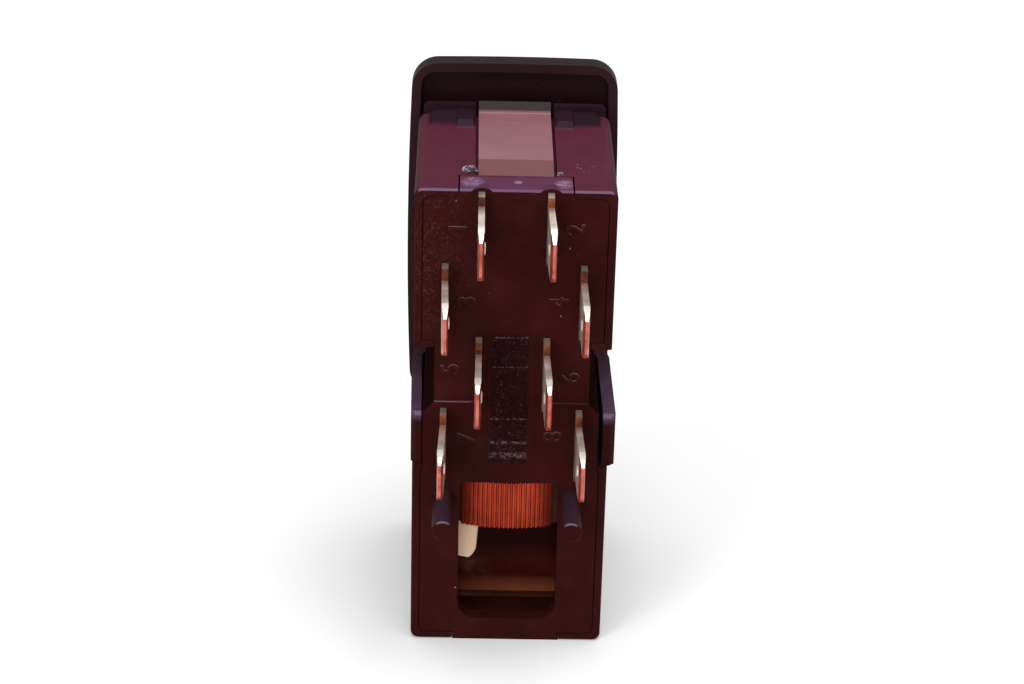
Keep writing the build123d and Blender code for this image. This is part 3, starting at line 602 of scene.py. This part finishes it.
def bronze():
    """Dull sheet with painted shade high up under the winding, painted light towards its foot,
    painted shade on its lip, and a painted reflection on the left.
    """
    shader = Shader("bronze", Metallic=0.06, Specular_IOR_Level=0.03)
    grain = shader.noise(420, detail=4, stretch=(1, 1, 0.3))
    cloud = shader.noise(200, detail=5, roughness=0.65)
    height = shader.axis(2)
    base = shader.mix(shader.ramp(cloud, 0.3, 0.75), srgb(48, 12, 7), srgb(70, 24, 14))
    # Painted shade high up, under the winding.
    shade = shader.ramp(height, *mm(7.6, 10.4))
    base = shader.mix(shade, base, srgb(32, 4, 4))
    # Painted light towards the foot.
    foot = shader.times(shader.ramp(height, *mm(5.4, 3.1)), 0.9)
    base = shader.mix(foot, base, srgb(126, 70, 44))
    # Painted shade on the lip's top.
    lip = shader.times(shader.ramp(height, *mm(3.02, 2.92)), 0.85)
    base = shader.mix(lip, base, srgb(50, 20, 12))
    # Painted reflection on the left side of the sheet.
    left_reflection = shader.times(
        shader.ramp(shader.axis(0), *mm(1.5, 5.5)),
        shader.ramp(cloud, 0.35, 0.6),
        shader.ramp(height, *mm(8.6, 7.0)),
        0.7,
    )
    shader.set("Base Color", shader.mix(left_reflection, base, srgb(112, 66, 58)))
    shader.set("Roughness", shader.ramp(grain, 0.3, 0.7, 0.34, 0.5))
    shader.set("Normal", shader.bump(grain, 0.03 * MM, 0.4))
    return shader.material


def tinned_brass():
    """Tinned blade stock, stained by its collar, bare and coppery where the tip was cropped, with
    painted light on the collar's upward and sideways faces and a painted highlight on the nose.
    """
    shader = Shader("tinned_brass", Metallic=0.7)
    grain = shader.noise(900, detail=4, stretch=(1, 0.15, 1))
    tarnish = shader.noise(420, detail=5, roughness=0.7)
    reach = shader.axis(1)
    upward = shader.ramp(shader.facing(2), 0.3, 0.7)
    sideways = shader.ramp(shader.magnitude(shader.facing(0)), 0.5, 0.8)
    bright = shader.ramp(tarnish, 0.35, 0.7)
    tin = shader.mix(bright, srgb(190, 168, 158), srgb(242, 228, 218))
    stain = shader.times(shader.ramp(reach, *from_tip(-6.6, -8.8)), 0.75)
    coat = shader.mix(stain, tin, srgb(138, 96, 72))
    brown = shader.ramp(tarnish, 0.4, 0.62)
    collar = shader.mix(brown, srgb(72, 32, 16), srgb(134, 76, 40))
    # Painted light: the collar is paler on faces that point up and sideways.
    collar_top = shader.mix(tarnish, srgb(112, 92, 82), srgb(206, 190, 176))
    collar_side = shader.mix(tarnish, srgb(138, 112, 90), srgb(204, 184, 164))
    collar = shader.mix(upward, collar, collar_top)
    collar = shader.mix(sideways, collar, collar_side)
    coat = shader.mix(shader.ramp(reach, *from_tip(-8.86, -8.92)), coat, collar)
    # Painted highlight on the nose's upward faces.
    nose_highlight = shader.times(shader.ramp(reach, *from_tip(-3.6, -1.4)), upward)
    coat = shader.mix(nose_highlight, coat, srgb(255, 252, 246))
    end = shader.times(
        shader.ramp(reach, *from_tip(-1.5, -1.4)),
        shader.ramp(shader.facing(1), 0.06, 0.12),
        shader.ramp(upward, 0.3, 0.05),
    )
    exposed = shader.mix(shader.ramp(tarnish, 0.4, 0.65), srgb(152, 62, 46), srgb(204, 108, 90))
    shader.set("Base Color", shader.mix(end, coat, exposed))
    shader.set("Roughness", shader.ramp(grain, 0.3, 0.7, 0.28, 0.44))
    shader.set("Normal", shader.bump(grain, 0.02 * MM, 0.4))
    return shader.material


MATERIALS = {
    "black_plastic": BlackPlastic().material,
    "satin_black_plastic": satin_black_plastic(),
    "natural_plastic": natural_plastic(),
    "steel": metal("steel", srgb(150, 148, 148), srgb(190, 188, 188), 0.25, 0.4),
    "spring_steel": spring_steel(),
    "silvered_copper": silvered_copper(),
    "brown_laminate": laminate(),
    "resistance_wire": metal(
        "resistance_wire", srgb(140, 48, 32), srgb(184, 74, 50), 0.4, 0.55, (1, 1, 0.2)
    ),
    "bronze": bronze(),
    "copper": metal("copper", srgb(190, 110, 80), srgb(214, 138, 104), 0.25, 0.4),
    "tinned_brass": tinned_brass(),
}
MELTED = melted_plastic()
RAISED = raised_plastic()


def dress_nodes():
    slots = {entry["node"]: entry["material_slot"] for entry in frame["record"]["subparts"]}
    for name, node in frame["nodes"].items():
        node.data.materials.clear()
        node.data.materials.append(MATERIALS[slots[name]])


# ---- moulded details ------------------------------------------------------------------------
def show(piece, material, body="body"):
    piece.data.materials.clear()
    piece.data.materials.append(material)
    bpy.context.scene.collection.objects.link(piece)
    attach(piece, body)
    return piece


def piece_from(bm, name):
    mesh = bpy.data.meshes.new(name)
    bm.to_mesh(mesh)
    bm.free()
    for polygon in mesh.polygons:
        polygon.use_smooth = True
    return bpy.data.objects.new(name, mesh)


def join_loops(bm, loops):
    """Quads between each closed loop of vertices and the next."""
    count = len(loops[0])
    for first, second in zip(loops, loops[1:]):
        for step in range(count):
            after = (step + 1) % count
            bm.faces.new((first[step], second[step], second[after], first[after]))


NUMBER_PLACES = {
    "1": (7.0, 58.9), "2": (-7.5, 58.9), "3": (5.8, 49.0), "4": (-5.8, 49.0),
    "5": (7.7, 39.6), "6": (-7.5, 38.6), "7": (5.5, 29.8), "8": (-5.5, 30.2),
}
NUMBER_SIZE = 3.3 * MM
NUMBER_RELIEF = 0.06 * MM
NUMBER_PLANE = REAR + 0.03 * MM


def raised_numbers():
    """Plain terminal numbers moulded beside the blades, reading upwards."""
    reading_up = Matrix(((0, 1, 0), (0, 0, 1), (1, 0, 0))).to_4x4()
    for number, (x, z) in NUMBER_PLACES.items():
        curve = bpy.data.curves.new("number", "FONT")
        curve.body = number
        curve.size = NUMBER_SIZE
        curve.extrude = NUMBER_RELIEF
        curve.bevel_depth = NUMBER_RELIEF
        curve.bevel_resolution = 1
        curve.align_x = "CENTER"
        curve.align_y = "CENTER"
        holder = bpy.data.objects.new("number", curve)
        bpy.context.scene.collection.objects.link(holder)
        mesh = bpy.data.meshes.new_from_object(holder)
        bpy.data.objects.remove(holder)
        place = Matrix.Translation((x * MM, NUMBER_PLANE, z * MM))
        mesh.transform(place @ reading_up)
        mesh.name = f"terminal_number_{number}"
        show(bpy.data.objects.new(mesh.name, mesh), RAISED)


# Name, place (across, forward of the rear face, up), half sizes, and a shift of the lumps.
BEADS = (
    ("staking_bead", (5.75, 6.4, 64.0), (0.95, 1.15, 0.42), 3.1),
    ("staking_bead_small", (-5.45, 5.5, 64.0), (0.36, 0.6, 0.16), 8.7),
)
LUMPS = (0.35, 2.2)
SMALL_LUMPS = (0.16, 6.0)


def melted_beads():
    """Lump of melted plastic where the strip's foot was staked, and a smaller one across."""
    for name, (x, forward, z), size, shift in BEADS:
        middle = Vector((x * MM, *from_rear(-forward), z * MM))
        bm = bmesh.new()
        bmesh.ops.create_icosphere(bm, subdivisions=5, radius=1.0)
        for vertex in bm.verts:
            direction = vertex.co.normalized()
            high, rate = LUMPS
            swell = 1.0 + high * noise.noise(direction * rate + Vector((shift, 0, 0)))
            high, rate = SMALL_LUMPS
            swell += high * noise.noise(direction * rate + Vector((0, shift, 0)))
            vertex.co = Vector([d * swell * half * MM for d, half in zip(direction, size)])
            vertex.co += middle
        show(piece_from(bm, name), MELTED)


# Profile of the mark in millimetres: radius and rise, from its flat crown out to its foot.
BUTTON_RINGS = ((0.3, 0.09), (0.46, 0.06), (0.56, 0.0), (0.56, -0.05))
BUTTON_PLACE = (-0.2, -2.6, -0.02)
BUTTON_CORNERS = 32


def tongue_button():
    """Low round ejector mark on the tongue."""
    right, back, sunk = BUTTON_PLACE
    bm = bmesh.new()
    loops = []
    for radius, rise in BUTTON_RINGS:
        loop = []
        for step in range(BUTTON_CORNERS):
            angle = 2 * math.pi * step / BUTTON_CORNERS
            x = radius * math.cos(angle) + right
            y = radius * math.sin(angle) + back
            loop.append(bm.verts.new((x * MM, *from_rear(y), *from_top(rise + sunk))))
        loops.append(loop)
    bm.faces.new(loops[0])
    join_loops(bm, loops)
    bmesh.ops.recalc_face_normals(bm, faces=bm.faces)
    show(piece_from(bm, "tongue_button"), RAISED)


WIRE_RADIUS = 0.225 * MM
COIL_TURNS = 4
COIL_STEPS = 28
WIRE_CORNERS = 10
CLOSED_ENDS = 0.6     # how much closer the turns lie at the ends than in the middle


def coil_loops(bm, low, high):
    """Rings of vertices round a spring's wire that fills the box from low to high along Y."""
    centre = (low + high) / 2
    coil = (high.z - low.z) / 2 - WIRE_RADIUS
    length = high.y - low.y - 2 * WIRE_RADIUS
    loops = []
    for step in range(COIL_TURNS * COIL_STEPS + 1):
        share = step / (COIL_TURNS * COIL_STEPS)
        angle = 2 * math.pi * step / COIL_STEPS
        along = share - CLOSED_ENDS * math.sin(2 * math.pi * share) / (2 * math.pi)
        outward = Vector((math.cos(angle), 0, math.sin(angle)))
        middle = Vector((centre.x, low.y + WIRE_RADIUS + length * along, centre.z))
        middle += coil * outward
        loop = []
        for corner in range(WIRE_CORNERS):
            turn = 2 * math.pi * corner / WIRE_CORNERS
            offset = math.cos(turn) * outward + math.sin(turn) * Vector((0, 1, 0))
            loop.append(bm.verts.new(middle + WIRE_RADIUS * offset))
        loops.append(loop)
    return loops


def coil_springs():
    """Round-wire springs that stand for the CAD ones, attached to the rocker's body."""
    for side in ("left", "right"):
        node = f"plunger_spring_{side}"
        low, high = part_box(node)
        bm = bmesh.new()
        loops = coil_loops(bm, low, high)
        join_loops(bm, loops)
        bm.faces.new(loops[0])
        bm.faces.new(loops[-1])
        bmesh.ops.recalc_face_normals(bm, faces=bm.faces)
        spring = show(
            piece_from(bm, f"coil_spring_{side}"), MATERIALS["steel"], "rocker"
        )
        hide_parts(node)
        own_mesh(spring)


# ---- stage ----------------------------------------------------------------------------------
FLOOR_GREY = (0.78, 0.78, 0.78, 1)
FLOOR_SIZE = 6
WORLD_GREY = (0.9, 0.9, 0.9, 1)
WORLD_STRENGTH = 0.75
LAMP_AIM = Vector((0, 0, 0.035))
LAMPS = (      # name, place and diameter in metres, watts
    ("overhead", (-0.1, 0.1, 0.9), 0.7, 6.0),
    ("key", (0.5, 0.6, 0.5), 0.4, 3.0),
    ("front", (0.05, 0.8, 0.12), 0.4, 1.2),
)


def pale_floor():
    shader = Shader("floor", Roughness=0.9, Base_Color=FLOOR_GREY)
    bpy.ops.mesh.primitive_plane_add(size=FLOOR_SIZE, location=(0, 0, 0))
    floor = bpy.context.object
    floor.name = "floor"
    floor.data.materials.append(shader.material)


def studio():
    """Soft overhead, side and front lamps in a plain pale world."""
    world = bpy.data.worlds.new("studio")
    bpy.context.scene.world = world
    world.use_nodes = True
    background = world.node_tree.nodes["Background"].inputs
    background["Color"].default_value = WORLD_GREY
    background["Strength"].default_value = WORLD_STRENGTH
    for name, place, size, power in LAMPS:
        data = bpy.data.lights.new(name, "AREA")
        data.shape = "DISK"
        data.size = size
        data.energy = power
        lamp = bpy.data.objects.new(name, data)
        lamp.location = place
        lamp.rotation_euler = (LAMP_AIM - Vector(place)).to_track_quat("-Z", "Y").to_euler()
        bpy.context.scene.collection.objects.link(lamp)
    bpy.context.scene.view_settings.view_transform = "Standard"


place_camera()
dress_nodes()
raised_numbers()
melted_beads()
tongue_button()
coil_springs()
pale_floor()
studio()
